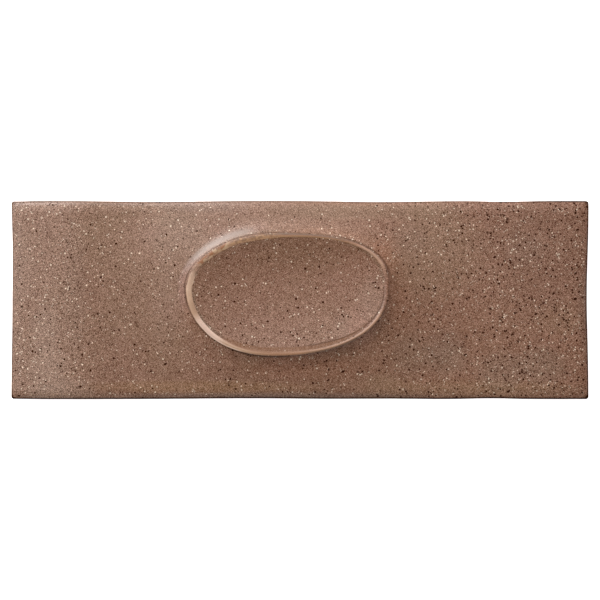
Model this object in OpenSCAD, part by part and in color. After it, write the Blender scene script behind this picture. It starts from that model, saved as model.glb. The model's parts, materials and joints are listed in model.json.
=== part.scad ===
// Relief wall tile: one piece of fired and glazed clay. A slightly pillowed
// rectangular face swells up to an egg-shaped rim with a shallow dish inside
// it. The frame's origin is the centre of the back, X runs along the length,
// Y across the width and Z out of the glazed face.

/* [Tile] */
// Length of the tile, along X
tile_length = 300; // [220:1:420]
// Width of the tile, along Y
tile_width = 103; // [84:0.5:160]
// Thickness of the tile from its back to its flat face
tile_thickness = 10; // [7:0.5:16]
// Radius of the four upright corners
corner_radius = 1.5; // [0.5:0.1:4]

/* [Face] */
// Radius of the arris, the rounded edge between the face and the sides
arris_radius = 1.5; // [0.8:0.1:2.5]
// Width of the band inside each edge where the face starts to roll over
roll_width = 5; // [2:0.5:10]
// How far the face drops across that band
roll_drop = 0.6; // [0:0.1:1]
// Length of the stretch at each end where the pillowed face falls away
end_length = 50; // [10:1:60]
// How far the face falls over that stretch
end_drop = 2.2; // [0:0.1:2.5]

/* [Waves] */
// Place along X of the low ridge that crosses the face near its left end
ridge_x = -117.5; // [-130:0.5:-80]
// Height of the ridge
ridge_height = 1.5; // [0:0.1:2]
// Distance from the ridge's crest over which it fades
ridge_reach = 18.5; // [10:0.5:30]
// Height of the tallest of the low swellings that the pressing leaves
swelling_height = 1; // [0:0.1:1.5]

/* [Oval] */
// Place of the oval's centre along X, from the middle of the tile
oval_x = -13.5; // [-20:0.5:20]
// Place of the oval's centre along Y, from the middle of the tile
oval_y = 7; // [-8:0.5:8]
// Reach of the rim from the oval's centre to the left
reach_left = 45.5; // [30:0.1:60]
// Reach of the rim from the oval's centre to the right
reach_right = 59.3; // [30:0.1:72]
// Reach of the rim from the oval's centre upwards, along +Y
reach_up = 27.7; // [18:0.1:34]
// Reach of the rim from the oval's centre downwards, along -Y
reach_down = 35.8; // [18:0.1:43]
// Squareness of the upper left quarter, where 2 is a plain ellipse
square_up_left = 1.9; // [1.8:0.01:3]
// Squareness of the upper right quarter
square_up_right = 2.56; // [1.8:0.01:3]
// Squareness of the lower left quarter
square_down_left = 2.11; // [1.8:0.01:3]
// Squareness of the lower right quarter
square_down_right = 2.25; // [1.8:0.01:3]

/* [Relief] */
// Height that the face gains in its long swell towards the oval
swell_height = 3.3; // [0:0.1:4]
// Length of the swell, outside the foot of the flank
swell_length = 45; // [10:1:60]
// Height of the flank, the steep cove between the swell and the rim's lip
flank_height = 3.2; // [2:0.1:6]
// Width of the flank
flank_width = 10; // [8:0.5:14]
// How much narrower than that the flank gets at its steepest
flank_narrowing = 6; // [0:0.5:6]
// Direction from the oval's centre in which the flank is steepest, in degrees
flank_steep_at = 175; // [0:5:355]
// Angle to each side of that over which the flank widens again
flank_steep_spread = 60; // [30:5:120]
// Share of its height that the flank loses on its lowest side
flank_fade = 0.55; // [0:0.05:0.7]
// Direction from the oval's centre in which the flank is lowest, in degrees
flank_low_at = 180; // [0:5:355]
// Angle to each side of that over which the flank regains its height
flank_low_spread = 50; // [30:5:120]
// Height of the lip, the small upright step between the flank and the land
lip_height = 0.9; // [0.3:0.1:2]
// Width of the lip's slope
lip_width = 0.5; // [0.2:0.1:1]
// Middle width of the land, the narrow top of the rim
land_width = 2.3; // [1.5:0.1:4]
// How much wider and narrower than that the land gets around the oval
land_change = 0.75; // [0:0.05:1.4]
// Direction from the oval's centre in which the land is widest, in degrees
land_widest_at = 170; // [0:5:355]
// Rise of the land's crown above its two edges
land_crown = 0.25; // [0:0.05:0.6]
// Depth of the dish below the edge of the land
dish_depth = 2.8; // [1:0.1:7]

/* [Back] */
// Number of keying grooves across the back
groove_count = 5; // [1:1:7]
// Width of a keying groove
groove_width = 8; // [4:0.5:10]
// Depth of a keying groove
groove_depth = 1; // [0.5:0.1:2.5]
// Bare border between the ends of the grooves and the sides
back_border = 14; // [8:1:30]

/* [Hidden] */
$fn = 48;

half_length = tile_length / 2;
half_width = tile_width / 2;
// How far the modelled face runs past the sides before they trim it
overrun = 3;
// How far the block under the face runs below the back before it is trimmed
underrun = 3;

// Directions of the rays from the oval's centre that carry the face's points:
// one every ray_step degrees, and one through each corner of the tile.
ray_step = 5;
corner_rays = [
    for (sx = [-1, 1], sy = [-1, 1])
        ray_to([sx * half_length, sy * half_width])
];
even_rays = [
    for (a = [-180:ray_step:180 - ray_step])
        if (min([for (c = corner_rays) abs(c - a)]) > 1) a
];
rays = sorted(concat(even_rays, corner_rays));

// Low swellings of the face: the place of each one's crest, its reach along X
// and along Y, and its height as a share of the tallest one's.
swellings = [
    [-66, 28, 30, 20, 1],
    [25, 34, 26, 10, 0.7],
    [60, -28, 40, 40, 1],
    [-116, -44, 22, 24, 0.5]
];

// Rings of the face, from the dish out. Those of the dish are shares of the
// way to the land, those of the slope are shares of the way from the lip's
// foot to the band that rolls over the edge, and the outermost ones are insets
// from the tile's sides. The slope's rings lie closest near the lip.
dish_rings = [0.25, 0.45, 0.65, 0.8, 0.92, 1];
slope_ring_count = 15;
slope_rings = [
    for (i = [0:slope_ring_count - 1])
        pow(i / slope_ring_count, 1.6)
];
arris_rings = [
    for (a = [0:22.5:90])
        arris_radius * (1 - sin(a))
];
edge_rings = concat(
    [roll_width + arris_radius, (roll_width + arris_radius) * 0.6],
    arris_rings,
    [-overrun]
);

function ray_to(p) = atan2(p[1] - oval_y, p[0] - oval_x);

function sorted(list) = len(list) <= 1 ? list : let (
    pivot = list[floor(len(list) / 2)],
    below = [for (v = list) if (v < pivot) v],
    same = [for (v = list) if (v == pivot) v],
    above = [for (v = list) if (v > pivot) v]
) concat(sorted(below), same, sorted(above));

// Distance from the oval's centre to the outer edge of its rim along a ray:
// four quarter superellipses that meet at the ends of their shared axes.
function rim_reach(ray) = let (
    right = abs(ray) <= 90,
    up = ray >= 0,
    along = right ? reach_right : reach_left,
    across = up ? reach_up : reach_down,
    squareness = up
        ? (right ? square_up_right : square_up_left)
        : (right ? square_down_right : square_down_left),
    sum = pow(abs(cos(ray)) / along, squareness)
        + pow(abs(sin(ray)) / across, squareness)
) pow(sum, -1 / squareness);

function land_width_at(ray) =
    land_width + land_change * cos(ray - land_widest_at);

// A point at a distance along a ray from the oval's centre
function on_ray(ray, distance) =
    [oval_x + distance * cos(ray), oval_y + distance * sin(ray)];

// Where a ray leaves the tile, as shares of its half length and half width
function side_share(ray) = let (
    to_x = (sign(cos(ray)) * half_length - oval_x) / cos(ray),
    to_y = (sign(sin(ray)) * half_width - oval_y) / sin(ray),
    p = on_ray(ray, min(
        abs(cos(ray)) < 1e-6 ? 1e6 : to_x,
        abs(sin(ray)) < 1e-6 ? 1e6 : to_y
    ))
) [p[0] / half_length, p[1] / half_width];

// The point of a ray on the outline that lies inset from the sides
function on_outline(ray, inset) = let (share = side_share(ray))
    [(half_length - inset) * share[0], (half_width - inset) * share[1]];

// Distance from the oval's centre to the foot of its lip
function lip_reach(ray) = rim_reach(ray) + lip_width;

// 1 in one direction, easing to 0 over an angle to each side of it
function towards(ray, direction, spread) = let (
    turned = abs((ray - direction + 540) % 360 - 180)
) (1 + cos(180 * min(1, turned / spread))) / 2;

function flank_width_at(ray) = flank_width
    - flank_narrowing * towards(ray, flank_steep_at, flank_steep_spread);

function flank_height_at(ray) = flank_height
    * (1 - flank_fade * towards(ray, flank_low_at, flank_low_spread));

// Height of the flank and the swell along a ray, at a distance outside the
// foot of the lip. The flank eases into the swell at the swell's own slope.
function relief_at(ray, distance) = let (
    width = flank_width_at(ray),
    straight = width * 2 * swell_height / swell_length,
    flank_left = max(0, 1 - distance / width),
    eased = pow(flank_left, 3) * (2 - flank_left),
    swell_left = max(0, 1 - max(0, distance - width) / swell_length)
) swell_height * swell_left * swell_left
    + straight * flank_left + (flank_height_at(ray) - straight) * eased;

// A rounded hump that is 1 at its crest and fades over its reach
function hump(distance, reach) = exp(-pow(distance / reach, 2));

// Height that the ridge and the swellings add at a point
function waves_at(p) = ridge_height * hump(p[0] - ridge_x, ridge_reach)
    + swelling_height * sum_of([
        for (s = swellings)
            s[4] * hump(p[0] - s[0], s[2]) * hump(p[1] - s[1], s[3])
    ]);

function sum_of(list) = list * [for (v = list) 1];

// Height of the face at a point, without the oval's relief
function pillow_at(p) = let (
    to_end = half_length - abs(p[0]),
    to_side = min(to_end, half_width - abs(p[1])),
    end_part = max(0, 1 - to_end / end_length),
    roll_part = max(0, min(1, 1 - (to_side - arris_radius) / roll_width))
) tile_thickness + waves_at(p) - end_drop * end_part * end_part
    - roll_drop * roll_part * roll_part;

// Drop of the arris at an inset from the sides
function arris_drop(inset) = let (
    out = max(0, min(arris_radius, arris_radius - inset))
) arris_radius - sqrt(arris_radius * arris_radius - out * out);

// Height of the land's edges over the face around the oval
land_edge = swell_height + flank_height + lip_height;

// A point of the face with the relief's height at that place
function raised(p, relief) = [p[0], p[1], pillow_at(p) + relief];

function dish_ring(share) = [
    for (ray = rays)
        let (reach = share * (rim_reach(ray) - land_width_at(ray)))
        raised(
            on_ray(ray, reach),
            land_edge - dish_depth * (1 - share * share)
        )
];

// The land, from 0 at its inner edge to 1 at its outer edge
function land_ring(share) = [
    for (ray = rays)
        let (
            reach = rim_reach(ray) - (1 - share) * land_width_at(ray),
            crown = land_crown * 4 * share * (1 - share)
        )
        raised(on_ray(ray, reach), land_edge + crown)
];

// The slope, from 0 at the foot of the lip to 1 where the roll starts
function slope_ring(share) = [
    for (ray = rays)
        let (
            foot = on_ray(ray, lip_reach(ray)),
            last = on_outline(ray, edge_rings[0]),
            p = foot + share * (last - foot)
        )
        raised(p, relief_at(ray, norm(p - foot)))
];

function edge_ring(inset) = [
    for (ray = rays)
        let (
            foot = on_ray(ray, lip_reach(ray)),
            p = on_outline(ray, inset),
            kept = on_outline(ray, max(inset, 0)),
            top = pillow_at(kept) + relief_at(ray, norm(kept - foot))
        )
        [p[0], p[1], top - arris_drop(inset)]
];

function bottom_ring() = [
    for (ray = rays)
        let (p = on_outline(ray, -overrun))
        [p[0], p[1], -underrun]
];

// The face as the top of a block that runs past the sides and the back
module face_block() {
    rings = concat(
        [for (share = dish_rings) dish_ring(share)],
        [for (share = [0.5, 1]) land_ring(share)],
        [for (share = slope_rings) slope_ring(share)],
        [for (inset = edge_rings) edge_ring(inset)],
        [bottom_ring()]
    );
    count = len(rays);
    centres = [
        raised([oval_x, oval_y], land_edge - dish_depth),
        [oval_x, oval_y, -underrun]
    ];
    points = concat(centres, [for (ring = rings) each ring]);
    first = len(centres);
    last = first + (len(rings) - 1) * count;
    dish_middle = [
        for (i = [0:count - 1])
            [0, first + (i + 1) % count, first + i]
    ];
    skin = [
        for (r = [0:len(rings) - 2], i = [0:count - 1])
            let (
                j = (i + 1) % count,
                inner = first + r * count,
                outer = inner + count
            )
            each [
                [inner + i, inner + j, outer + j],
                [inner + i, outer + j, outer + i]
            ]
    ];
    bottom = [
        for (i = [0:count - 1])
            [1, last + i, last + (i + 1) % count]
    ];
    polyhedron(points, concat(dish_middle, skin, bottom), convexity = 4);
}

// The upright sides and corners, and the flat back
module outline_block() {
    straight_length = tile_length - 2 * corner_radius;
    straight_width = tile_width - 2 * corner_radius;
    headroom = ridge_height + len(swellings) * swelling_height + 1;
    linear_extrude(tile_thickness + land_edge + headroom)
        union() {
            square([tile_length, straight_width], center = true);
            square([straight_length, tile_width], center = true);
            for (sx = [-1, 1], sy = [-1, 1])
                translate([sx * straight_length / 2, sy * straight_width / 2])
                    circle(corner_radius);
        }
}

// One groove with round ends, cut up into the back
module keying_groove() {
    straight = tile_length - 2 * back_border - groove_width;
    translate([0, 0, -1])
        linear_extrude(groove_depth + 1)
            union() {
                square([straight, groove_width], center = true);
                for (sx = [-1, 1])
                    translate([sx * straight / 2, 0])
                        circle(groove_width / 2);
            }
}

module tile() {
    pitch = (tile_width - 2 * back_border - groove_width)
        / max(1, groove_count - 1);
    color([0.54, 0.41, 0.34])
        difference() {
            intersection() {
                outline_block();
                face_block();
            }
            for (i = [0:groove_count - 1])
                translate([0, (i - (groove_count - 1) / 2) * pitch, 0])
                    keying_groove();
        }
}

tile();
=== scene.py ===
# %% [markdown]
# # A relief wall tile
# The object is one slab of stoneware, pressed in a mould, glazed and fired. Its face is gently
# pillowed and swells up to an egg-shaped rim with a shallow dish inside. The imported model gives
# its true size and place, so the lesson starts by loading that as a frame and measuring it.
# Everything built here has to fit inside that box.

# %% Load the frame
import json
import math

import bpy
import numpy as np
from mathutils import Matrix, Vector, noise

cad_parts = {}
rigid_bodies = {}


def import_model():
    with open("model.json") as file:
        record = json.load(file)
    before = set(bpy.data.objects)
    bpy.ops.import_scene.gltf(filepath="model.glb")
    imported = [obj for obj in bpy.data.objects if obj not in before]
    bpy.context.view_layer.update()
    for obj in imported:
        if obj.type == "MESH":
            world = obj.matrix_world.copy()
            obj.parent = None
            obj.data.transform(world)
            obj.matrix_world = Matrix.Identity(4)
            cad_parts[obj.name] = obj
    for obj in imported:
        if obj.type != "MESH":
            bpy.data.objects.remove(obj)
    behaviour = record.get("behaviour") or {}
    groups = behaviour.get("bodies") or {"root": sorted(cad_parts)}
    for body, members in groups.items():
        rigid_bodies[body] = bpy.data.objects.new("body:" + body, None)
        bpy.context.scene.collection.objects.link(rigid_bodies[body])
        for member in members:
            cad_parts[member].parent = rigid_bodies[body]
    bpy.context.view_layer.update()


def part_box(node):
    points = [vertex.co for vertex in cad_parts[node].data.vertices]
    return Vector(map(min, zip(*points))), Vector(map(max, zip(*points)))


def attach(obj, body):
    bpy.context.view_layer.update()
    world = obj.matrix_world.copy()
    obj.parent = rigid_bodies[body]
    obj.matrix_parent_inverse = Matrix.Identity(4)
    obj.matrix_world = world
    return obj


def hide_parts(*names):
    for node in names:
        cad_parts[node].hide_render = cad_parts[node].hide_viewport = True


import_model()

low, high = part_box("tile")
MM = 1000
length, width, height = ((high[i] - low[i]) * MM for i in range(3))
print(f"tile: {length:.1f} x {width:.1f} x {height:.2f} mm")

# %% [markdown]
# ## The sizes that drive the shape
# A potter would cut this mould from a drawing with a few dimensions on it: how long the swell
# is, how wide the flank, how deep the dish. The same values drive the mesh here. They are in
# millimetres, as on a drawing, and become metres only when the mesh is made.

# %% Sizes of the slab and its edges
half = np.array([length, width]) / 2
thickness = 10.0
corner_radius, arris_radius, back_bevel = 1.5, 1.5, 0.7
roll_width, roll_drop = 5.0, 0.6
end_length, end_drop = 50.0, 2.2
roll_start = roll_width + arris_radius

# %% Sizes of the oval's relief
oval_centre = np.array([-13.5, 7.0])
reach_left, reach_right, reach_up, reach_down = 45.5, 59.3, 27.7, 35.8
squareness = {"up_left": 1.9, "up_right": 2.56, "down_left": 2.11, "down_right": 2.25}
swell_height, swell_length = 3.3, 45.0
flank_height, flank_width, flank_narrowing = 3.2, 10.0, 6.0
flank_steep_at, flank_steep_spread = 175.0, 60.0
flank_fade, flank_low_at, flank_low_spread = 0.55, 180.0, 50.0
lip_height, lip_width = 0.9, 0.5
land_width, land_change, land_widest_at, land_crown = 2.3, 0.75, 170.0, 0.25
dish_depth = 2.8
land_edge = swell_height + flank_height + lip_height
print(f"the rim stands {land_edge + land_crown:.2f} mm over a slab of {thickness:.0f} mm")

# %% [markdown]
# ## The slab before the oval
# Soft clay never lies quite flat. A low ridge crosses this face near its left end, and there are
# four broad swellings where the press left it thicker. Each is a bell curve, which has no edge
# anywhere and so cannot leave a crease. The ends fall away with a square law, which starts level
# and steepens towards the side, as slumped clay does.

# %% Height of the pillowed face
ridge_x, ridge_height, ridge_reach = -117.5, 1.5, 18.5
# The place of each swelling's crest, its reach along the tile and across it, and its height.
swellings = [(-66, 28, 30, 20, 1.0), (25, 34, 26, 10, 0.7),
             (60, -28, 40, 40, 1.0), (-116, -44, 22, 24, 0.5)]


def hump(distance, reach):
    """A bell curve that is 1 at its crest and fades over its reach."""
    return np.exp(-((distance / reach) ** 2))


def waves_at(points):
    """What the ridge and the swellings add to the face, in millimetres."""
    x, y = points.T
    total = ridge_height * hump(x - ridge_x, ridge_reach)
    for crest_x, crest_y, along, across, rise in swellings:
        total += rise * hump(x - crest_x, along) * hump(y - crest_y, across)
    return total


def pillow_at(points):
    """Height of the face without the oval's relief."""
    to_side = half - np.abs(points)
    end = np.clip(1 - to_side[:, 0] / end_length, 0, 1)
    roll = np.clip(1 - (to_side.min(axis=1) - arris_radius) / roll_width, 0, 1)
    return thickness + waves_at(points) - end_drop * end**2 - roll_drop * roll**2


print(f"height at the middle of the slab {pillow_at(np.zeros((1, 2)))[0]:.2f} mm")

# %% [markdown]
# ## Rays and rings
# A grid of squares would cut across the egg-shaped rim and leave it jagged. Rays from the oval's
# centre out to the sides, crossed by rings that change from the egg's outline to the tile's, put
# a row of vertices exactly along every crease. Each ray ends at a fixed share of the way along a
# side, or at a fixed angle round a corner, so the rings stay in step at every inset.

# %% Rays from the oval's centre
EVEN_RAYS, CORNER_RAYS = 440, 9
# An even ray that ends beyond this share of a side would crowd the corner's own rays.
NEAR_CORNER = 0.995
# Stands in for zero where a ray runs along one of the sides.
ALMOST_ZERO = 1e-9


def meet_side(turn):
    """Where an even ray meets the sides: its share of their straight part and the way out."""
    way = np.array([math.cos(turn), math.sin(turn)])
    way = np.where(np.abs(way) < ALMOST_ZERO, ALMOST_ZERO, way)
    reach = (np.sign(way) * half - oval_centre) / way
    axis = int(np.argmin(reach))
    share = (oval_centre + way * reach[axis]) / (half - corner_radius)
    share[axis] = np.sign(way[axis])
    out = np.zeros(2)
    out[axis] = np.sign(way[axis])
    return share, out


rays = [meet_side(turn) for turn in np.linspace(-math.pi, math.pi, EVEN_RAYS, endpoint=False)]
rays = [(share, out) for share, out in rays if np.abs(share).min() < NEAR_CORNER]
for side_x, side_y in ((1, 1), (-1, 1), (-1, -1), (1, -1)):
    for turn in np.linspace(0, math.pi / 2, CORNER_RAYS):
        out = np.array([side_x * math.cos(turn), side_y * math.sin(turn)])
        rays.append((np.array([side_x, side_y], float), out))
share, outward = (np.array(column) for column in zip(*rays))
from_centre = (half - corner_radius) * share + corner_radius * outward - oval_centre
turns = np.arctan2(from_centre[:, 1], from_centre[:, 0])
order = np.argsort(turns)
turns, share, outward = turns[order], share[order], outward[order]
ways = np.stack([np.cos(turns), np.sin(turns)], axis=1)
print(f"{len(turns)} rays, {4 * CORNER_RAYS} of them in the corners")

# %% [markdown]
# ## The egg-shaped rim
# A plain ellipse is too regular for this rim, which is blunt on the right and nearly straight
# along part of its top. Four quarter superellipses that share one centre follow it with eight
# numbers, and a squareness above 2 fills its quarter out towards a corner. The land, the narrow
# flat on top, widens towards one side. The flank outside it is narrowest on the left, and it
# loses half its height there, so that the lip stands up sharply.

# %% Rim, land and flank along the rays
right, up = ways[:, 0] >= 0, ways[:, 1] >= 0
power = np.select(
    [up & right, up & ~right, ~up & ~right],
    [squareness["up_right"], squareness["up_left"], squareness["down_left"]],
    squareness["down_right"],
)
along_share = np.abs(ways[:, 0]) / np.where(right, reach_right, reach_left)
across_share = np.abs(ways[:, 1]) / np.where(up, reach_up, reach_down)
rim = (along_share**power + across_share**power) ** (-1 / power)
land = land_width + land_change * np.cos(turns - math.radians(land_widest_at))


def facing(direction, spread):
    """1 for the ray in one direction, easing to 0 over an angle to each side of it."""
    # Adding 540 and keeping the rest by 360 brings any difference to between -180 and 180.
    apart = np.abs((np.degrees(turns) - direction + 540) % 360 - 180)
    return (1 + np.cos(math.pi * np.minimum(1, apart / spread))) / 2


flank = flank_width - flank_narrowing * facing(flank_steep_at, flank_steep_spread)
flank_rise = flank_height * (1 - flank_fade * facing(flank_low_at, flank_low_spread))
print(f"land {land.min():.1f} to {land.max():.1f} mm wide")
print(f"flank {flank.min():.1f} to {flank.max():.1f} mm wide")

# %% Rings on the rays and the slope outside the rim
# How much rounder a ring's corners get for every millimetre that it lies further in.
CORNER_GROWTH = 0.8


def on_rays(reach):
    """The points that lie on the rays at their own reach from the oval's centre."""
    return oval_centre + reach[:, None] * ways


def outline_ring(inset):
    """The ring that runs a given distance inside the sides, rounder the further in it is."""
    rounding = corner_radius + CORNER_GROWTH * inset
    return (half - inset - rounding) * share + rounding * outward


def relief_at(distance):
    """Height of the flank and the swell at a distance outside the foot of the lip."""
    # The flank's straight part has the swell's own slope, so no crease shows where they meet.
    straight = flank * 2 * swell_height / swell_length
    flank_left = np.clip(1 - distance / flank, 0, 1)
    eased = flank_left**3 * (2 - flank_left)
    swell_left = np.clip(1 - np.maximum(0, distance - flank) / swell_length, 0, 1)
    return swell_height * swell_left**2 + straight * flank_left + (flank_rise - straight) * eased


print(f"the outermost ring has {len(outline_ring(0))} points")

# %% [markdown]
# ## Sides that a hand has handled
# No side of a hand-made tile is straight. Each is drawn in here and there by up to a millimetre,
# most of all at the middle of the right end. The sides move only inwards, so that the tile still
# fits its frame, and the rings near them follow with a share of the same move.

# %% Where the sides are drawn in
# For each side: place along it, reach and depth of every dent, in millimetres.
dents = {
    "upper": [(-147, 6, 0.2), (-74, 30, 0.5), (41, 28, 0.55), (106, 13, 0.45)],
    "lower": [(-147, 8, 0.12), (-26, 42, 0.45), (46, 22, 0.25), (99, 14, 0.45)],
    "right": [(3, 26, 0.85), (-20, 40, 0.2)],
    "left": [(24, 20, 0.6), (-8, 24, 0.45)],
}
# Over the dents runs a finer unevenness, from 0 to about twice this depth.
FINE_WAVE = 0.03


def drawn_in(side, place):
    """How far one side is drawn in at each place along it, in millimetres."""
    return sum(depth * hump(place - at, reach) for at, reach, depth in dents[side])


def hand_wave(points, size, seed):
    """Slow unevenness between -1 and 1, with waves about as long as the size."""
    return np.array([noise.noise(Vector((x / size, y / size, seed))) for x, y in points])


on_side = outline_ring(0)
place_x, place_y = on_side.T
at_end = np.abs(outward[:, 0])
long_side = np.where(outward[:, 1] > 0, drawn_in("upper", place_x), drawn_in("lower", place_x))
short_side = np.where(outward[:, 0] > 0, drawn_in("right", place_y), drawn_in("left", place_y))
fine_wave = FINE_WAVE * (1 + hand_wave(on_side, size=6, seed=5.9))
side_move = (1 - at_end) * long_side + at_end * short_side + fine_wave
print(f"the sides are drawn in by {side_move.min():.2f} to {side_move.max():.2f} mm")


def drawn_outline(inset, amount=1.0):
    """A ring inside the sides, moved with them by a share of their dents."""
    return outline_ring(inset) - amount * side_move[:, None] * outward


# %% [markdown]
# ## Laying out the rings
# Each ring is a list of points with three numbers that the finish will need: how far outside the
# rim it lies, its place across the land, from -1 at the inner edge to 1 at the outer edge, and
# how far inside the tile's sides it lies, which counts on below zero down the sides. Named
# attributes on the mesh carry them to the shader, which then paints the rim and the wavy edges
# without knowing anything about their outlines.

# %% How a ring is made
rings = []


def add_ring(points, relief, drop=0.0, base=None, inset=None):
    """One closed ring at a base, by default the pillowed face, plus the relief, less a drop."""
    z = (pillow_at(points) if base is None else base) + relief - drop
    z = np.minimum(z, height)
    beyond = np.linalg.norm(points - oval_centre, axis=1) - rim
    inside = (half - np.abs(points)).min(axis=1) if inset is None else np.full(len(points), inset)
    across_land = 1 + 2 * beyond / land
    rings.append(np.stack([*points.T, z, beyond, across_land, inside], axis=1))


def steps(start, end, count):
    """Even steps to the end, without the start, where the ring before them already lies."""
    return np.linspace(start, end, count + 1)[1:]


print("no ring yet, and each will carry x, y, z, beyond, across_land and inside")

# %% Rings of the dish
# Shares of the way from the middle to the edge, where the rings lie closer together.
dish_shares = np.concatenate([np.linspace(0.05, 0.88, 20), np.linspace(0.91, 1, 7)])
DISH_WAVE = 0.05
for part in dish_shares:
    points = on_rays(part * (rim - land))
    uneven = DISH_WAVE * hand_wave(points, size=16, seed=3.1) * (1 - part**4)
    add_ring(points, land_edge - dish_depth * (1 - part**2) + uneven)
print(f"{len(rings)} rings in the dish")

# %% Rings of the crowned land and the lip outside it
LAND_RINGS, LIP_SHARES = 8, (0.2, 0.5, 0.8)
for part in steps(0, 1, LAND_RINGS):
    crown = land_crown * 4 * part * (1 - part)
    add_ring(on_rays(rim - (1 - part) * land), land_edge + crown)
for part in LIP_SHARES:
    add_ring(on_rays(rim + lip_width * part), land_edge - lip_height * part)
print(f"{len(rings)} rings as far as the lip")

# %% Rings of the flank and the swell
# A crowding above 1 brings the rings closer together towards the lip.
SLOPE_RINGS, CROWDING, SLOPE_WAVE = 44, 1.5, 0.08
# The share of the sides' dents that the ring at the start of the roll follows.
ROLL_FOLLOWS = 0.1
lip_foot, roll_line = on_rays(rim + lip_width), drawn_outline(roll_start, ROLL_FOLLOWS)


def relief_of(points):
    """Height of the flank and the swell at one point on every ray."""
    return relief_at(np.linalg.norm(points - lip_foot, axis=1))


for part in np.linspace(0, 1, SLOPE_RINGS) ** CROWDING:
    points = lip_foot + part * (roll_line - lip_foot)
    uneven = SLOPE_WAVE * hand_wave(points, size=26, seed=7.7) * 4 * part * (1 - part)
    add_ring(points, relief_of(points) + uneven)
print(f"{len(rings)} rings as far as the roll")

# %% Rings of the roll and the arris
ROLL_RINGS, ARRIS_RINGS = 8, 8
for inset in steps(roll_start, arris_radius, ROLL_RINGS):
    followed = 1 - (1 - ROLL_FOLLOWS) * (inset - arris_radius) / roll_width
    points = drawn_outline(inset, followed)
    add_ring(points, relief_of(points), inset=inset)
edge_relief, edge_height = relief_of(outline_ring(0)), pillow_at(outline_ring(0))
for turn in steps(0, math.pi / 2, ARRIS_RINGS):
    inset = arris_radius * (1 - math.sin(turn))
    drop = arris_radius * (1 - math.cos(turn))
    add_ring(drawn_outline(inset), edge_relief, drop, base=edge_height, inset=inset)
print(f"{len(rings)} rings as far as the sides")

# %% Rings of the sides and the back's bevel
SIDE_RINGS, BEVEL_RINGS = 6, 3
side_top = edge_height + edge_relief - arris_radius
for part in steps(0, 1, SIDE_RINGS):
    depth = part * (side_top.mean() - back_bevel)
    add_ring(drawn_outline(0), 0, base=(1 - part) * side_top + part * back_bevel, inset=-depth)
for turn in steps(0, math.pi / 2, BEVEL_RINGS):
    points = drawn_outline(back_bevel * (1 - math.cos(turn)))
    level = np.full(len(turns), back_bevel * (1 - math.sin(turn)))
    add_ring(points, 0, base=level, inset=-depth)
rings = np.array(rings)
print(f"{len(rings)} rings of {len(turns)} points")

# %% Mesh from the rings
ring_count, ray_count = len(rings), len(turns)
middle_height = pillow_at(oval_centre[None])[0] + land_edge - dish_depth
vertices = np.vstack([rings[:, :, :3].reshape(-1, 3), [[*oval_centre, middle_height]]]) / MM
faces = []
for r in range(ring_count - 1):
    inner, outer = r * ray_count, (r + 1) * ray_count
    for i in range(ray_count):
        j = (i + 1) % ray_count
        faces.append((inner + i, outer + i, outer + j, inner + j))
centre = ring_count * ray_count
faces += [(centre, i, (i + 1) % ray_count) for i in range(ray_count)]
faces.append(tuple(reversed(range(centre - ray_count, centre))))
mesh = bpy.data.meshes.new("fired_tile")
mesh.from_pydata(vertices.tolist(), [], faces)
# What the finish reads: an attribute's name, its column, and its value in the dish's middle.
columns = (("beyond_rim", 3, -40.0), ("across_land", 4, -30.0), ("inside_edge", 5, 40.0))
for name, column, at_centre in columns:
    values = np.append(rings[:, :, column].ravel(), at_centre)
    mesh.attributes.new(name, "FLOAT", "POINT").data.foreach_set("value", values)
tile = bpy.data.objects.new("fired_tile", mesh)
bpy.context.scene.collection.objects.link(tile)
print(f"{len(mesh.vertices)} vertices, {len(mesh.polygons)} faces")

# %% [markdown]
# ## Keying grooves in the back
# Adhesive needs something to grip, so the back of a pressed tile has shallow grooves that stop
# short of its sides. A cutter with round ends and a softened rim is subtracted for each of them
# with a Boolean modifier. The result is read back as one finished mesh, and the cutters go.
# Everything on it is shaded smooth but the back's own flat faces.

# %% Sizes of the grooves
groove_count, groove_width, groove_depth, back_border = 5, 8.0, 1.0, 14.0
groove_rounding, wall_draft, floor_chamfer = 0.35, 0.1, 0.25
pitch = (width - 2 * back_border - groove_width) / (groove_count - 1)
print(f"{groove_count} grooves, one every {pitch:.2f} mm")

# %% Outline and profile of a cutter
straight = length / 2 - back_border - groove_width / 2
ROUNDING_LEVELS, END_POINTS = 4, 17
# The cutter starts this far below the back, so that it cuts cleanly through the surface.
CUTTER_STUB = 0.5
# How far each level stands out past half the groove's width, and its height above the back.
profile = [(groove_rounding, -CUTTER_STUB), (groove_rounding, 0)]
profile += [(groove_rounding * (1 - math.sin(turn)), groove_rounding * (1 - math.cos(turn)))
            for turn in steps(0, math.pi / 2, ROUNDING_LEVELS)]
profile += [(-wall_draft, groove_depth - floor_chamfer),
            (-wall_draft - floor_chamfer, groove_depth)]
# The round right-hand end as its centre's x and the way out from there, then the left-hand end.
outline = [(straight, math.cos(turn), math.sin(turn))
           for turn in np.linspace(-math.pi / 2, math.pi / 2, END_POINTS)]
outline += [(-x, -across, -up) for x, across, up in outline]
print(f"a cutter has {len(profile)} levels of {len(outline)} points")


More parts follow.
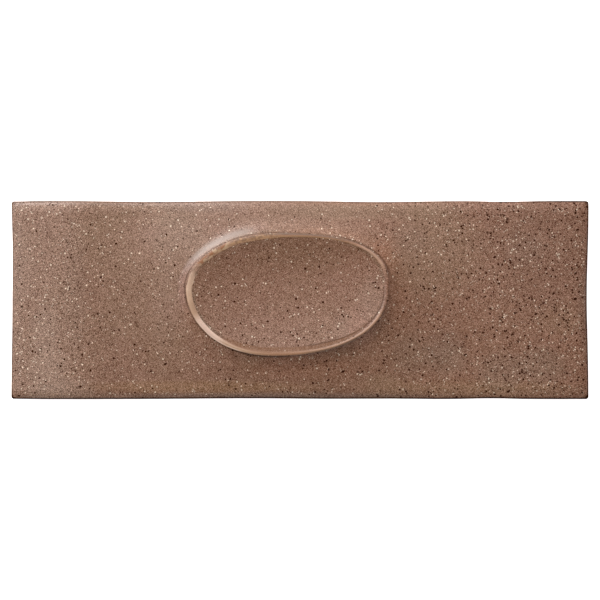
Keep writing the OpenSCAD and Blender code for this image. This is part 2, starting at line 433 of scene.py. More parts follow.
# %% A groove cutter
def groove_cutter(centre_y):
    """A long cutter with round ends, wider at the back's surface than at its floor."""
    points, skin, count = [], [], len(outline)
    for extra, z in profile:
        reach = groove_width / 2 + extra
        points += [((x + reach * across) / MM, (centre_y + reach * up) / MM, z / MM)
                   for x, across, up in outline]
    for r in range(len(profile) - 1):
        for i in range(count):
            j = (i + 1) % count
            skin.append((r * count + i, r * count + j, (r + 1) * count + j, (r + 1) * count + i))
    skin.append(tuple(reversed(range(count))))
    skin.append(tuple(range(len(points) - count, len(points))))
    cutter_mesh = bpy.data.meshes.new("groove_cutter")
    cutter_mesh.from_pydata(points, [], skin)
    cutter = bpy.data.objects.new("groove_cutter", cutter_mesh)
    bpy.context.scene.collection.objects.link(cutter)
    return cutter


# %% Cut the grooves
for i in range(groove_count):
    cut = tile.modifiers.new("groove", "BOOLEAN")
    cut.operation, cut.solver = "DIFFERENCE", "EXACT"
    cut.object = groove_cutter((i - (groove_count - 1) / 2) * pitch)
bpy.context.view_layer.update()
evaluated = tile.evaluated_get(bpy.context.evaluated_depsgraph_get())
grooved = bpy.data.meshes.new_from_object(evaluated)
tile.modifiers.clear()
tile.data = grooved
for cutter in [o for o in bpy.data.objects if o.name.startswith("groove_cutter")]:
    bpy.data.objects.remove(cutter)
print(f"{groove_count} grooves cut")

# %% Shade the mesh
CREASE_ANGLE = math.radians(40)
# A face whose normal is lower than this looks straight down and is part of the flat back.
STRAIGHT_DOWN = -0.999
grooved.shade_smooth()
grooved.set_sharp_from_angle(angle=CREASE_ANGLE)
for face in grooved.polygons:
    face.use_smooth = face.normal.z > STRAIGHT_DOWN
triangles = sum(len(face.vertices) - 2 for face in grooved.polygons)
print(f"grooved mesh: {len(grooved.vertices)} vertices, {triangles} triangles")

# %% [markdown]
# ## Shader maths as plain expressions
# A finish is a chain of small sums. Wrapping a socket in a class that knows `+`, `-`, `*`, `/`
# and `**` lets those sums be written as they would be on paper, and every one of them adds its
# own Math node. One method of the finish adds any other kind of node.

# %% A wire
class Wire:
    """A socket of a finish. Sums of wires and numbers add Math nodes."""

    def __init__(self, finish, socket):
        self.finish, self.socket = finish, socket

    def math(self, operation, *values):
        """What one Math node makes of the values."""
        return self.finish.node("ShaderNodeMath", {"operation": operation}, dict(enumerate(values)))

    def beside(self, output):
        """The wire from another output of the same node."""
        return Wire(self.finish, self.finish.find(self.socket.node.outputs, output))

    def __add__(self, other):
        return self.math("ADD", self, other)

    def __sub__(self, other):
        return self.math("SUBTRACT", self, other)

    def __rsub__(self, other):
        return self.math("SUBTRACT", other, self)

    def __mul__(self, other):
        return self.math("MULTIPLY", self, other)

    def __truediv__(self, other):
        return self.math("DIVIDE", self, other)

    def __rtruediv__(self, other):
        return self.math("DIVIDE", other, self)

    def __pow__(self, other):
        return self.math("POWER", self, other)

    __radd__, __rmul__ = __add__, __mul__

    def at_least(self, other):
        """The larger of the two."""
        return self.math("MAXIMUM", self, other)

    def step(self, start, end):
        """0 up to start and 1 from end on, with a smooth rise between them."""
        inputs = {"Value": self, "From Min": start, "From Max": end}
        settings = {"interpolation_type": "SMOOTHSTEP", "clamp": True}
        return self.finish.node("ShaderNodeMapRange", settings, inputs)

    def band(self, start, end, soft):
        """1 between start and end, fading to 0 over a soft margin on both sides."""
        return self.step(start - soft, start + soft) * (1 - self.step(end - soft, end + soft))


print("a wire adds", ("+", "-", "*", "/", "**", "at_least", "step", "band"))


# %% A finish
class Finish:
    """A material, and the one way in which nodes are added to it."""

    def __init__(self, name):
        self.material = bpy.data.materials.new(name)
        self.material.use_nodes = True
        self.tree = self.material.node_tree
        self.tree.nodes.clear()

    def find(self, sockets, key):
        """One of the sockets in use, by its name or by its place among them."""
        used = [socket for socket in sockets if socket.enabled]
        return used[key] if isinstance(key, int) else next(s for s in used if s.name == key)

    def node(self, kind, settings=None, inputs=None, output=0):
        """A new node with its settings made and its inputs filled, and a wire from one output."""
        made = self.tree.nodes.new(kind)
        for name, value in (settings or {}).items():
            setattr(made, name, value)
        for key, value in (inputs or {}).items():
            socket = self.find(made.inputs, key)
            if isinstance(value, Wire):
                self.tree.links.new(value.socket, socket)
            else:
                socket.default_value = value
        return Wire(self, self.find(made.outputs, output)) if len(made.outputs) else None

    def mix(self, factor, under, over):
        """One colour over another: none of it where the factor is 0, all of it where it is 1."""
        settings = {"data_type": "RGBA", "blend_type": "MIX", "clamp_factor": True}
        return self.node("ShaderNodeMix", settings, {"Factor": factor, "A": under, "B": over})

    def noise(self, place, scale, detail=2.0, roughness=0.5):
        """A soft random pattern between 0 and 1."""
        inputs = {"Vector": place, "Scale": scale, "Detail": detail, "Roughness": roughness}
        return self.node("ShaderNodeTexNoise", {"noise_dimensions": "3D"}, inputs, "Fac")


print("a finish adds any node, a mix of two colours or a noise")

# %% [markdown]
# ## The glaze
# The real tile is fired once with a satin brown glaze over a speckled clay. The glaze is never
# one colour. It drifts between a purple and an olive brown, it is as grainy as fine sand, and it
# carries dark specks of iron and pale grains of grog, which is old crushed pottery.
#
# One material carries all of it, built up one coat after another: the body colour with its stains,
# painted sheen and painted shade, the painting of the rim with its painted highlights, the burnt
# lines and painted shade, the bare clay, the sandy grain and then the specks. It is read from the
# place on the tile in millimetres, so the grain has the same size on the face and the sides, and
# from the three numbers that the mesh carries.

# %% Places on the tile that the finish reads
glaze = Finish("speckled_satin_glaze")
object_place = glaze.node("ShaderNodeTexCoord", output="Object")
place = glaze.node("ShaderNodeVectorMath", {"operation": "SCALE"}, {0: object_place, "Scale": MM})
x = glaze.node("ShaderNodeSeparateXYZ", inputs={0: place})
y, z = x.beside("Y"), x.beside("Z")


def from_mesh(name):
    """A number that the mesh carries at each of its points."""
    return glaze.node("ShaderNodeAttribute", {"attribute_name": name}, output="Fac")


beyond, across, inside = (from_mesh(name) for name, _, _ in columns)
from_x, from_y = x - float(oval_centre[0]), y - float(oval_centre[1])
turn = from_y.math("ARCTAN2", from_y, from_x)
print("the finish reads the place, the distance from the rim and the turn round the oval")

# %% [markdown]
# ### Masks
# A mask is a number between 0 and 1 that says how much of a paint lies at a point. Three kinds
# do most of the work on this tile: a soft patch of the face, one direction from the oval's
# centre, and a band at some distance from a line, which the shader maths already has as `band`.
#
# Colours are easier to choose as they look on a screen, but nodes work with linear light, so
# `colour` converts between the two.

# %% Masks
def towards(degrees, reach, core):
    """1 in a direction from the oval's centre, fading to 0 at a reach to each side of it.

    The core is the share of that reach over which the mask stays at 1.
    """
    apart = turn - math.radians(degrees)
    closeness = apart.math("COSINE", apart)
    return closeness.step(math.cos(math.radians(reach)), math.cos(math.radians(reach * core)))


def patch(at_x, at_y, reach_x, reach_y):
    """A soft patch of the tile: 1 at its middle, fading to 0 at its reach."""
    away = ((x - at_x) / reach_x) ** 2 + ((y - at_y) / reach_y) ** 2
    return 1 - away.step(0.0, 1.0)


print("masks for a direction and for a patch")


# %% Colours and coats of paint
def colour(red, green, blue):
    """A paint colour as seen on a screen, turned into the linear values that nodes use."""
    linear = [c / 12.92 if c <= 0.04045 else ((c + 0.055) / 1.055) ** 2.4
              for c in (v / 255 for v in (red, green, blue))]
    return (*linear, 1.0)


def painted(under, layers):
    """A colour with layers of paint on it, each given by its mask, its paint and its strength."""
    for mask, paint, strength in layers:
        under = glaze.mix(mask * strength, under, paint)
    return under


print("a middle brown is", [round(c, 3) for c in colour(117, 80, 60)[:3]], "in linear light")

# %% [markdown]
# ### The body's colour
# The glaze was sprayed by hand, so it lies thicker in some places than in others. A slow noise
# mixes a purple and an olive brown, and from left to right the brown turns a little redder.
# Patches a few centimetres wide then stand for the places where the glaze pooled or ran thin:
# olive along the top, tan along the foot, green-grey low on the right. Other patches are painted
# light and shade: a pale painted sheen near the left-hand end, along the ridge and round the oval,
# and a painted shade where the right-hand end falls away at its dent.

# %% Browns and stains to choose from
purple_brown, olive_brown, red_brown = colour(113, 73, 50), colour(110, 74, 48), colour(119, 71, 46)
left_brown, right_brown, right_end_shade = colour(108, 75, 53), colour(106, 66, 44), colour(82, 54, 40)
olive, tan_stain, green_grey = colour(120, 95, 68), colour(136, 105, 77), colour(110, 91, 72)
painted_sheen, smoky_brown, lilac_grey = colour(138, 113, 96), colour(98, 70, 54), colour(112, 94, 84)
rusty_brown, ochre_stain = colour(124, 72, 42), colour(122, 84, 46)
rosy_brown, highlight_lilac = colour(146, 94, 74), colour(124, 108, 97)
print("purple brown is", [round(c, 3) for c in purple_brown[:3]], "in linear light")

# %% Body colour and stains
drift = glaze.noise(place, 0.03, detail=2.0)
body = glaze.mix(drift.step(0.38, 0.62), purple_brown, olive_brown)
# Each entry: where it lies, its colour and its strength. Most are stains, and the marked ones are
# painted sheen and painted shade. A later one lies over those before it.
stains_and_painted_light = [
    (x.step(-70, 110), red_brown, 0.6),
    (1 - x.step(-150, -60), left_brown, 0.6),
    (patch(128, 28, 45, 45), right_brown, 0.5),
    (patch(-35, -46, 60, 6), tan_stain, 0.3),
    # Painted sheen: pale patches where the light glances off the left-hand end.
    (patch(-131, -38, 13, 18), painted_sheen, 0.4),
    (patch(-117, -47, 14, 8), painted_sheen, 0.5),
    (patch(-132, -16, 10, 18), painted_sheen, 0.35),
    (patch(-146, 18, 10, 24), painted_sheen, 0.3),
    (patch(-132, -49, 16, 7), painted_sheen, 0.5),
    # Painted sheen above the oval at the upper left, and in the dish.
    (patch(-66, 34, 22, 16), painted_sheen, 0.25),
    (patch(28, -14, 14, 12), painted_sheen, 0.25),
    (patch(75, -24, 13, 12), smoky_brown, 0.4),
    (patch(45, 24, 9, 12), rusty_brown, 0.65),
    (patch(31, -14, 9, 16), rosy_brown, 0.3),
    (patch(117, 26, 14, 12), smoky_brown, 0.3),
    (patch(43, -43, 11, 8), tan_stain, 0.35),
    # Painted sheen on the slope left of the oval.
    (patch(-70, 0, 9, 36), painted_sheen, 0.12),
    (patch(50, 4, 9, 22), rusty_brown, 0.3),
    (patch(5, -35, 42, 9), rusty_brown, 0.35),
    # Painted sheen along the ridge near the left-hand end, in a lilac grey.
    (patch(-117, 8, 8, 50), lilac_grey, 0.1),
    # Painted sheen at the right of the dish.
    (patch(37, 0, 10, 14), painted_sheen, 0.25),
    (patch(95, -47, 60, 5), tan_stain, 0.45),
    (patch(44, -46, 24, 9), tan_stain, 0.3),
    (patch(-55, -45, 72, 4.2), ochre_stain, 0.65),
    (patch(92, -44.5, 60, 4.5), ochre_stain, 0.4),
    (patch(-20, -49.8, 115, 2.4), lilac_grey, 0.45),
    # Painted shade where the right-hand end falls away at its dent.
    (patch(149, -4, 7, 30), right_end_shade, 0.4),
    (patch(135, -10, 16, 11), tan_stain, 0.25),
    (patch(-68, 45, 32, 9), olive, 0.25),
    (patch(-50, 49, 30, 6), smoky_brown, 0.4),
    (patch(35, 46, 60, 6), olive, 0.4),
    (patch(70, 26, 32, 32), olive, 0.4),
    (patch(-97, 28, 22, 22), olive, 0.25),
    (patch(125, -34, 17, 13), green_grey, 0.4),
    (patch(58, -28, 14, 14), green_grey, 0.3),
    (patch(104, -37, 16, 14), green_grey, 0.35),
    (patch(57, 31, 12, 10), smoky_brown, 0.25),
    (patch(76, -31, 15, 11), green_grey, 0.3),
    (1 - (x + length / 2).step(1.5, 8), smoky_brown, 0.4),
]
body = painted(body, stains_and_painted_light)
print(len(stains_and_painted_light), "stains on the body colour")

# %% [markdown]
# ### Grains
# Sand, grog and iron are scattered at random, and the grains of each kind have about one size. A
# Voronoi texture cuts space into cells like that and gives each cell a random colour, whose red
# and green serve as two lottery numbers. Moving the place a little by a noise first keeps the
# cells from looking like a net. Stretching them along one slanted direction gives longer flecks.

# %% Scatters of grains
WOBBLE = 0.5
FLECK_SLANT = math.radians(28)
wobble = glaze.noise(place, 1.2, detail=1.0).beside("Color")
wobbled = glaze.node("ShaderNodeVectorMath", {"operation": "MULTIPLY_ADD"},
                     {0: wobble, 1: (WOBBLE, WOBBLE, WOBBLE), 2: place})


def grains(cell, seed, stretch=(1, 1, 1)):
    """Close-packed cells: how far a point is from a cell's middle, and the cell's two lots."""
    shift = (seed * 7.3, seed * 3.1, seed * 5.7)
    laid = glaze.node("ShaderNodeMapping", {"vector_type": "TEXTURE"},
                      {"Vector": wobbled, "Location": shift,
                       "Rotation": (0, 0, FLECK_SLANT), "Scale": stretch})
    cells = glaze.node("ShaderNodeTexVoronoi", {"feature": "F1"},
                       {"Vector": laid, "Scale": 1 / cell, "Randomness": 1.0}, "Color")
    first_lot = glaze.node("ShaderNodeSeparateColor", inputs={"Color": cells})
    return cells.beside("Distance") * cell, first_lot, first_lot.beside("Green")


print(f"the long flecks slant by {math.degrees(FLECK_SLANT):.0f} degrees")

# %% [markdown]
# ### The painting of the rim
# The narrow land on top of the rim is where the glaze drew back and the clay shows through. It
# is cream on the left, tan along the bottom, straw at the right-hand end and umber along the top.
# Where it catches most light it carries painted highlight: a pink blush at the lower left, and a
# paler cream near the left-hand end and on its inner half at the lower left. The glaze broke along
# the top into short streaks, which is a noise stretched along the rim: it is read from the turn
# and the distance, not from X and Y. At the upper left it crumbled as well, so a scatter of
# millimetre grains is laid on top there, some rusty and some pale. Thereabouts the land is a
# little narrower too, and has a ragged edge.

# %% Clays and streaks of the land
tan_clay, cream_clay = colour(150, 108, 78), colour(172, 138, 112)
blush_highlight, straw_clay = colour(196, 166, 148), colour(162, 122, 96)
umber, rust, burnt_rust = colour(92, 63, 44), colour(144, 100, 74), colour(140, 90, 54)
sand_clay, ochre, brown_clay = colour(148, 113, 86), colour(120, 82, 50), colour(104, 74, 52)
streak_clay, pink_clay = colour(174, 134, 98), colour(176, 136, 116)
dull_clay, buff_clay = colour(126, 95, 72), colour(158, 118, 84)
pale_crumb, pale_straw = colour(186, 156, 124), colour(166, 134, 112)
lit_cream = colour(216, 186, 166)
along_rim = glaze.node("ShaderNodeCombineXYZ", inputs={0: turn * 20, 1: beyond * 1.7})
streaks = glaze.noise(along_rim, 1.0, detail=3.0, roughness=0.65)
thick_streaks, thin_streaks = streaks.step(0.5, 0.6), 1 - streaks.step(0.38, 0.48)
outer_half, inner_half = across.step(-0.4, 0.5), 1 - across.step(-0.7, 0.3)
print("thick and thin streaks, and an outer and an inner half of the land")

# %% Paint on the land
upper_left, left_shoulder = towards(122, 44, 0.7), towards(162, 13, 0.6)
land_paint = painted(tan_clay, [
    (towards(-164, 74, 0.55), cream_clay, 1.0),
    (towards(-161, 11, 0.4), sand_clay, 0.7),
    # Painted highlight: the pink blush where the land catches the light at the lower left.
    (towards(-146, 16, 0.4), blush_highlight, 1.0),
    (towards(-42, 26, 0.6) * outer_half, dull_clay, 0.95),
    (towards(-18, 15, 0.5), straw_clay, 0.9),
    (towards(17, 15, 0.5), straw_clay, 0.9),
    (towards(-66, 60, 0.65) * inner_half, ochre, 0.8),
    (towards(71, 47, 0.7) * outer_half, umber, 1.0),
    (towards(66, 42, 0.65) * inner_half, buff_clay, 1.0),
    (towards(128, 44, 0.65) * outer_half, brown_clay, 0.8),
    (upper_left * thick_streaks, streak_clay, 0.8),
    (upper_left * thin_streaks, brown_clay, 0.75),
    (towards(153, 21, 0.6), dull_clay, 0.9),
    (towards(150, 18, 0.6) * (1 - streaks.step(0.44, 0.54)), rust, 0.8),
    (left_shoulder * thick_streaks, pink_clay, 0.9),
    (left_shoulder * thin_streaks, brown_clay, 0.7),
    (towards(125, 32, 0.6) * inner_half, streak_clay, 0.6),
    # Painted highlight near the left-hand end.
    (towards(177, 9, 0.5), lit_cream, 0.2),
    (towards(15, 12, 0.6) * (0.6 + thick_streaks * 0.4), pale_straw, 0.75),
    # Painted highlight on the inner half of the land at the lower left.
    (towards(-133, 13, 0.5) * inner_half, lit_cream, 0.35),
])
print("the land has its clays")

# %% Crumbs and the land's edge
_, which_crumb, _ = grains(1.0, seed=7, stretch=(1.6, 1, 1))
crumbly, less_crumbly = towards(151, 17, 0.6), towards(115, 24, 0.6)
land_paint = painted(land_paint, [
    ((1 - which_crumb.step(0.34, 0.38)) * crumbly, burnt_rust, 0.85),
    (which_crumb.step(0.66, 0.7) * crumbly, pale_crumb, 0.7),
    ((1 - which_crumb.step(0.2, 0.24)) * less_crumbly, brown_clay, 0.5),
    (which_crumb.step(0.72, 0.76) * less_crumbly, streak_clay, 0.5),
])
narrowed = (towards(151, 15, 0.6) * 0.45 + towards(172, 9, 0.5) * 0.45
            + towards(106, 22, 0.6) * 0.3 - towards(-131, 18, 0.5) * 0.2)
ragged = across + (streaks - 0.5) * towards(138, 40, 0.6) * 0.9 + narrowed
land_shown = ragged.band(-1.0, 0.98, 0.08) * (1 - towards(-2, 15, 0.4))
body = glaze.mix(land_shown, body, land_paint)
print("the land is painted all round, except for a gap at the right-hand end")

# %% [markdown]
# ### Beside the land
# Glaze that drew back from the land gathered at its foot, in bands a millimetre or two wide on
# both sides of it. The shadow-brown bands, in the creases at the foot of the lip and where the dish
# meets the land, are painted shade, and so is the brown line outside the lip along the bottom. A
# cream band on the lip's edge at the lower left is painted highlight. Each band below is a range
# of distance from the rim's outer edge, negative towards the dish, times a direction. At the upper
# left a broad crescent of pale paint is a painted highlight where the light glances off the flank.

# %% Bands along the rim
dish_umber, shadow_brown, deep_ochre = colour(98, 66, 38), colour(90, 60, 34), colour(105, 59, 8)
rose_brown, brown_line = colour(128, 86, 78), colour(84, 50, 20)
ochre_band = beyond.band(-4.3, -1.8, 0.45) * towards(-78, 66, 0.6)
rim_bands = [
    (ochre_band, deep_ochre, 0.95),
    (beyond.band(-3.6, -1.9, 0.3) * towards(16, 18, 0.5), dish_umber, 0.7),
    (beyond.band(-4.4, -3.6, 0.35) * towards(122, 36, 0.7), brown_clay, 0.6),
    (beyond.band(-4.1, -3.1, 0.25) * towards(165, 9, 0.5), brown_clay, 0.9),
    # Painted shade in the crease where the dish meets the land at the lower left, as in the other
    # shadow-brown bands.
    (beyond.band(-4.1, -2.9, 0.25) * towards(-157, 26, 0.6), shadow_brown, 1.0),
    (beyond.band(-0.1, 0.6, 0.2) * towards(66, 44, 0.7), shadow_brown, 0.6),
    (beyond.band(0.2, 1.4, 0.4) * towards(118, 38, 0.6), dish_umber, 0.7),
    (beyond.band(0.2, 1.5, 0.3) * towards(33, 22, 0.5), shadow_brown, 0.5),
    # Painted shade in the crease outside the lip along the bottom.
    (beyond.band(0.1, 0.9, 0.3) * towards(-97, 40, 0.4), brown_line, 0.75),
    (beyond.band(-0.1, 0.7, 0.15) * towards(116, 46, 0.7), brown_line, 0.7),
    (beyond.band(0.0, 1.0, 0.25) * towards(178, 15, 0.6), shadow_brown, 1.0),
    # Painted highlight on the lip's edge at the lower left.
    (beyond.band(-0.4, 0.05, 0.15) * towards(-130, 15, 0.6), lit_cream, 0.8),
    (beyond.band(0.5, 4.0, 1.0) * towards(176, 22, 0.4), rose_brown, 0.4),
]
# Painted highlight: a pale crescent where the light glances off the flank at the upper left.
highlight_crescent = beyond.band(0.8, 4.4, 1.7) * towards(139, 38, 0.4)
body = painted(body, rim_bands + [(highlight_crescent, highlight_lilac, 0.65)])
print(len(rim_bands), "bands and a pale crescent beside the rim")

# %% [markdown]
# ### Thin dark lines
# Where glaze ends at a sharp step it burns to a thin, dull brown line, and the tile has such lines
# along most of the rim. Outside the lip on the left and along the bottom, and where the dish meets
# the land at the lower right, they are also painted shade in the crease. The dark line all round
# the arris is painted shade, strongest at the right-hand end and along the foot. They are too dull
# for the satin gloss, so they are kept apart here and will be laid into the surface as a second,
# matt shader. The arris also has a sheen at the upper left, just inside its line, and that is
# paint.

# %% Burnt lines and painted crease shade along the rim
def strongest(masks):
    """One mask out of many: the largest of them at each point."""
    most = masks[0]
    for mask in masks[1:]:
        most = most.at_least(mask)
    return most


# At the lower right one line runs in the dish, and nears the land on its way to the right.
nearing = turn.step(math.radians(-52), math.radians(-4)) * 2.3 - 4.5
burnt_and_shade_lines = strongest([
    beyond.band(0.0, 0.6, 0.15) * towards(118, 52, 0.7) * 0.3,
    # Burnt line and painted crease shade outside the lip at the lower left, and along the bottom.
    beyond.band(0.25, 0.9, 0.2) * towards(-154, 60, 0.65) * 0.34,
    beyond.band(0.2, 0.9, 0.3) * towards(-103, 30, 0.6) * 0.6,
    beyond.band(-0.4, 0.9, 0.3) * towards(48, 40, 0.7) * 0.25,
    # Burnt line and painted crease shade where the dish meets the land at the lower right.
    (beyond - nearing).band(-0.4, 0.4, 0.3) * towards(-32, 34, 0.7) * 0.58,
    beyond.band(0.3, 1.7, 0.4) * towards(22, 19, 0.65) * 0.52,
    beyond.band(-0.8, 0.3, 0.2) * towards(102, 20, 0.6) * 0.2,
    beyond.band(-0.9, -0.3, 0.2) * towards(-28, 16, 0.6) * 0.13,
    # Burnt line and painted crease shade outside the lip at the left-hand end.
    beyond.band(0.4, 1.0, 0.2) * towards(180, 16, 0.6) * 0.6,
])
print("burnt lines along the rim")

# %% The arris: painted shade all round, darkest at the right and the foot, and a painted sheen at the upper left
towards_right, towards_foot = x.step(100, 140), 1 - y.step(-49, -45)
on_arris = inside.step(-1.0, 0.0) * (1 - inside.step(0.45, 1.05))
# Painted shade along the arris, stronger at the right-hand end and along the foot, away from the
# light.
arris_shade = on_arris * (0.5 + towards_right * 0.45 + towards_foot * 0.5)
lit_arris = inside.band(0.8, 2.2, 0.4) * y.step(44, 47) * (1 - x.step(-60, 20))
arris_sheen = colour(140, 122, 112)
body = glaze.mix(lit_arris * 0.3, body, arris_sheen)
print("a burnt line round the arris")

# %% [markdown]
# ### Bare clay
# The glaze stops a millimetre or two above the ground, or the tile would stick to the kiln shelf.
# Below that line, and on the back, the tan clay is bare, with the same sand and iron in it.

# %% Bare clay round the foot
CLAY_UP_TO, GLAZE_FROM = 1.0, 2.2
clay_side = 1 - z.step(CLAY_UP_TO, GLAZE_FROM)
body = glaze.mix(clay_side, body, tan_clay)
print(f"bare clay up to {CLAY_UP_TO} mm, and glaze from {GLAZE_FROM} mm up")

# %% [markdown]
# ### The sandy grain
# The clay is full of fine sand that shows through the glaze, a grain every quarter of a
# millimetre, strongest at the two ends and faint on the land. Half of it is pale quartz, which is
# painted into the body colour. The other half is rich in iron and melts to dull, almost black
# dots. Those have no gloss, so they wait with the burnt lines for the matt shader. A pale grain
# is further from the body colour than a dark one, so it gets less strength, and the mixture keeps
# the colour that was chosen. A faint paler mottle a few millimetres wide lies over the sand.

# %% Where grains are many or few
to_right, to_left = x.step(20, 130), 1 - x.step(-125, -80)
above_oval = patch(0, 46, 75, 16)
bare_of_specks = strongest([highlight_crescent, land_shown, ochre_band * 0.6]) * (1 - clay_side)
print("more grains at both ends, fewer above the oval, hardly any on the land")

# %% Sandy grain
SAND_CELL, QUARTZ_STRENGTH, IRON_SAND_STRENGTH = 0.23, 0.36, 0.64
sandiness = 1.08 + to_left * 0.2 + to_right * 0.12 - above_oval * 0.15
sandiness = sandiness * (1 - bare_of_specks * 0.8)
_, sand, _ = grains(SAND_CELL, seed=5)
quartz = sand.step(0.55, 0.85) * sandiness * QUARTZ_STRENGTH
iron_sand = (1 - sand.step(0.15, 0.5)) * sandiness * IRON_SAND_STRENGTH
quartz_buff, mottle_tan = colour(206, 168, 145), colour(160, 126, 108)
body = glaze.mix(quartz, body, quartz_buff)
mottle = glaze.noise(place, 0.3, detail=2.0)
body = glaze.mix(mottle.step(0.55, 0.75) * 0.1, body, mottle_tan)
print(f"a grain of sand every {SAND_CELL} mm")

# %% [markdown]
# ### Specks
# Of the coarser grains only some are kept, by their first lottery number. Their second number
# sets their size: most are small and a few are large. Iron crowds towards the right-hand end and
# in loose clumps, grog is at both ends, and the band above the oval is almost bare of both. None
# lie on the land, where the glaze was thin, and no grog lies along the arris.

# %% A scatter of specks
# The smallest and the largest grain of a scatter, as shares of its radius.
SMALLEST, LARGEST = 0.5, 2.0
# Over which shares of its own radius a grain fades out, and how sharp the draw between kept and
# left out is.
FADE_START, FADE_END, DRAW_SOFTNESS = 0.8, 1.1, 0.01


def specks(cell, radius, kept, seed, stretch=(1, 1, 1)):
    """1 inside a scatter of grains: the cell's size, a grain's radius and the share kept."""
    away, pick, size = grains(cell, seed, stretch)
    grain = radius * (SMALLEST + size * size * size * (LARGEST - SMALLEST))
    in_grain = 1 - (away / grain).step(FADE_START, FADE_END)
    drawn = 1 - (pick - kept).step(-DRAW_SOFTNESS, DRAW_SOFTNESS)
    return in_grain * drawn * (1 - bare_of_specks)


print(f"a speck has {SMALLEST} to {LARGEST} times its scatter's radius")

# %% Iron and grog
clumps = glaze.noise(place, 0.045, detail=1.0).step(0.4, 0.62)
iron_share = (0.11 + to_right * 0.42 + clumps * 0.07) * (1 - above_oval * 0.8)
grog_share = (0.22 + to_left * 0.18 + to_right * 0.2) * (1 - above_oval * 0.6)
iron_specks = specks(1.15, 0.35, iron_share, seed=1)
iron_flecks = specks(2.6, 0.36, iron_share * 0.4, seed=2, stretch=(1.7, 1, 1))
grog = specks(0.95, 0.225, grog_share, seed=3) * (1 - inside.band(-1.0, 2.0, 0.5))
grog_cream = colour(236, 216, 192)
body = glaze.mix(grog * 0.95, body, grog_cream)
print("iron specks, iron flecks and grog are scattered")

# %% [markdown]
# ### The surface
# A satin glaze scatters its gloss: its roughness is about a third, higher on bare clay. A weak
# bump makes the sand stand out as it does to a fingertip. The iron is a second, matt shader of
# almost black brown. Its masks, with those of the burnt lines and the painted shade, choose
# between the two.

# %% Satin and matt shaders
GRAIN_HEIGHT = 0.2
GLAZE_ROUGHNESS, CLAY_ROUGHNESS, IRON_ROUGHNESS = 0.36, 0.71, 0.8
sand_relief = glaze.noise(place, 1.8, detail=2.0, roughness=0.6)
bumped = glaze.node("ShaderNodeBump", inputs={"Strength": 0.5, "Distance": GRAIN_HEIGHT / MM,
                                              "Height": sand_relief})
satin = GLAZE_ROUGHNESS + clay_side * (CLAY_ROUGHNESS - GLAZE_ROUGHNESS) + bare_of_specks * 0.03
fired_glaze = glaze.node("ShaderNodeBsdfPrincipled",
                         inputs={"Base Color": body, "Roughness": satin, "Normal": bumped,
                                 "IOR": 1.5, "Specular IOR Level": 0.65})
iron_black = colour(42, 14, 1)
matt_iron = glaze.node("ShaderNodeBsdfPrincipled",
                       inputs={"Base Color": iron_black, "Roughness": IRON_ROUGHNESS,
                               "IOR": 1.5, "Specular IOR Level": 0.05})
print(f"a bump of up to {GRAIN_HEIGHT} mm")

# %% The two shaders together
# The burnt lines together with the painted shade of the creases and the arris.
burnt_and_shaded = arris_shade.at_least(burnt_and_shade_lines) * (1 - clay_side)
iron = strongest([iron_specks, iron_flecks, iron_sand, burnt_and_shaded])
surface = glaze.node("ShaderNodeMixShader", inputs={0: iron, 1: fired_glaze, 2: matt_iron})
glaze.node("ShaderNodeOutputMaterial", inputs={"Surface": surface})
grooved.materials.clear()
grooved.materials.append(glaze.material)
print(len(glaze.tree.nodes), "nodes in the glaze")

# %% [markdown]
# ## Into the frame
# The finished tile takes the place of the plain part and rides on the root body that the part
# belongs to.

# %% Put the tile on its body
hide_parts("tile")
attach(tile, "root")
print("the tile replaces the plain part")

# %% [markdown]
# ## Floor
# A sheet of white paper on a light table: it glows, so it stays white right up to the tile and
# the tile casts almost no shadow. It lies a hair below the back, so that the two never flicker.

# %% Floor
FLOOR_REACH, FLOOR_GAP = 3.0, 0.0002
PAPER_WHITE, PAPER_GLOW = 0.9, 0.9
floor_corners = [(FLOOR_REACH * u, FLOOR_REACH * v, 0)
                 for u, v in ((-1, -1), (1, -1), (1, 1), (-1, 1))]
floor_mesh = bpy.data.meshes.new("floor")
floor_mesh.from_pydata(floor_corners, [], [(0, 1, 2, 3)])
floor = bpy.data.objects.new("floor", floor_mesh)
floor.location.z = low.z - FLOOR_GAP
bpy.context.scene.collection.objects.link(floor)
paper = Finish("lit_paper")
white = paper.node("ShaderNodeBsdfPrincipled",
                   inputs={"Base Color": (PAPER_WHITE, PAPER_WHITE, PAPER_WHITE, 1),
                           "Roughness": 0.8, "Emission Color": (1, 1, 1, 1),
                           "Emission Strength": PAPER_GLOW})
paper.node("ShaderNodeOutputMaterial", inputs={"Surface": white})
floor_mesh.materials.append(paper.material)
print(f"a floor {2 * FLOOR_REACH:.0f} m square at z = {floor.location.z * MM:.1f} mm")

# %% [markdown]
# ## Light
# Low relief only shows under light that comes in from one side. The key light is a large softbox
# low at the upper left: it lights the slopes that face it and leaves those beyond the oval in
# shade. A strip at the left draws the sheen along the ridge, a second box above fills the dish,
# and two low boxes keep the ends from going dark. Each is given by its direction and its size as
# seen from the tile, and its strength by how bright a white sheet would become under it.

# %% Lights
LIGHT_DISTANCE = 1.5


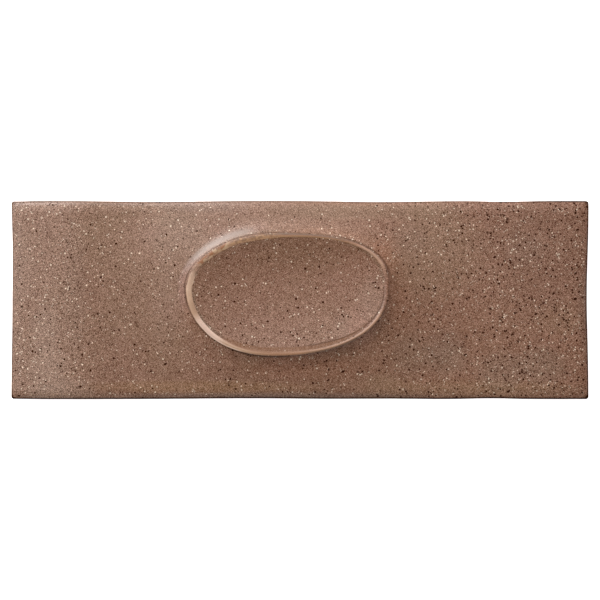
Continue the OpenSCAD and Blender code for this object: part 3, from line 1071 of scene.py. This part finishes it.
def softbox(name, azimuth, tilt, wide, high, strength):
    """A softbox aimed at the tile, from an azimuth round from +X and a tilt from straight up."""
    swing, lean = math.radians(azimuth), math.radians(tilt)
    sideways = Vector((-math.sin(swing), math.cos(swing), 0))
    outwards = Vector((math.cos(swing), math.sin(swing), 0))
    way = outwards * math.sin(lean) + Vector((0, 0, math.cos(lean)))
    lamp = bpy.data.lights.new(name, "AREA")
    lamp.shape, lamp.size, lamp.size_y = "RECTANGLE", wide, high
    lamp.energy = strength * math.pi**2 * LIGHT_DISTANCE**2
    holder = bpy.data.objects.new(name, lamp)
    facing_tile = Matrix((sideways, way.cross(sideways), way)).transposed().to_4x4()
    holder.matrix_world = Matrix.Translation(way * LIGHT_DISTANCE) @ facing_tile
    bpy.context.scene.collection.objects.link(holder)
    print(f"{name}: {wide:.2f} x {high:.2f} m, {lamp.energy:.0f} W")


softbox("key_softbox", azimuth=123, tilt=67, wide=0.78, high=1.67, strength=1.233)
softbox("strip_light", azimuth=158, tilt=31, wide=0.99, high=0.36, strength=0.211)
softbox("top_softbox", azimuth=93, tilt=39.4, wide=0.98, high=1.8, strength=0.41)
softbox("right_fill", azimuth=50, tilt=82, wide=1.8, high=0.12, strength=0.407)
softbox("low_left", azimuth=155, tilt=74.6, wide=1.71, high=1.17, strength=0.659)

# %% [markdown]
# The rest of the studio is a plain, weak, even light from everywhere.

# %% Room light
ROOM_STRENGTH = 0.27
room = bpy.data.worlds.new("studio")
bpy.context.scene.world = room
room.use_nodes = True
room_light = room.node_tree.nodes["Background"].inputs
room_light["Color"].default_value = (1, 1, 1, 1)
room_light["Strength"].default_value = ROOM_STRENGTH
print("room light", ROOM_STRENGTH)

# %% [markdown]
# ## Camera
# A tile is shown like a page in a catalogue, from straight above and from far enough that its
# raised rim isn't pushed outwards. The lens follows from two lengths: how high the camera hangs
# over the tile, and how wide its view should be at the tile's own level.

# %% Camera
camera_height, tile_level, seen_width, sensor = 2.4, 0.007, 0.3115, 36
camera_data = bpy.data.cameras.new("camera")
camera_data.sensor_width = sensor
camera_data.lens = sensor * (camera_height - tile_level) / seen_width
camera = bpy.data.objects.new("camera", camera_data)
camera.location = (0, 0, camera_height)
bpy.context.scene.collection.objects.link(camera)
bpy.context.scene.camera = camera
bpy.context.scene.view_settings.view_transform = "Standard"
print(f"camera {camera_height} m up with a {camera_data.lens:.0f} mm lens")
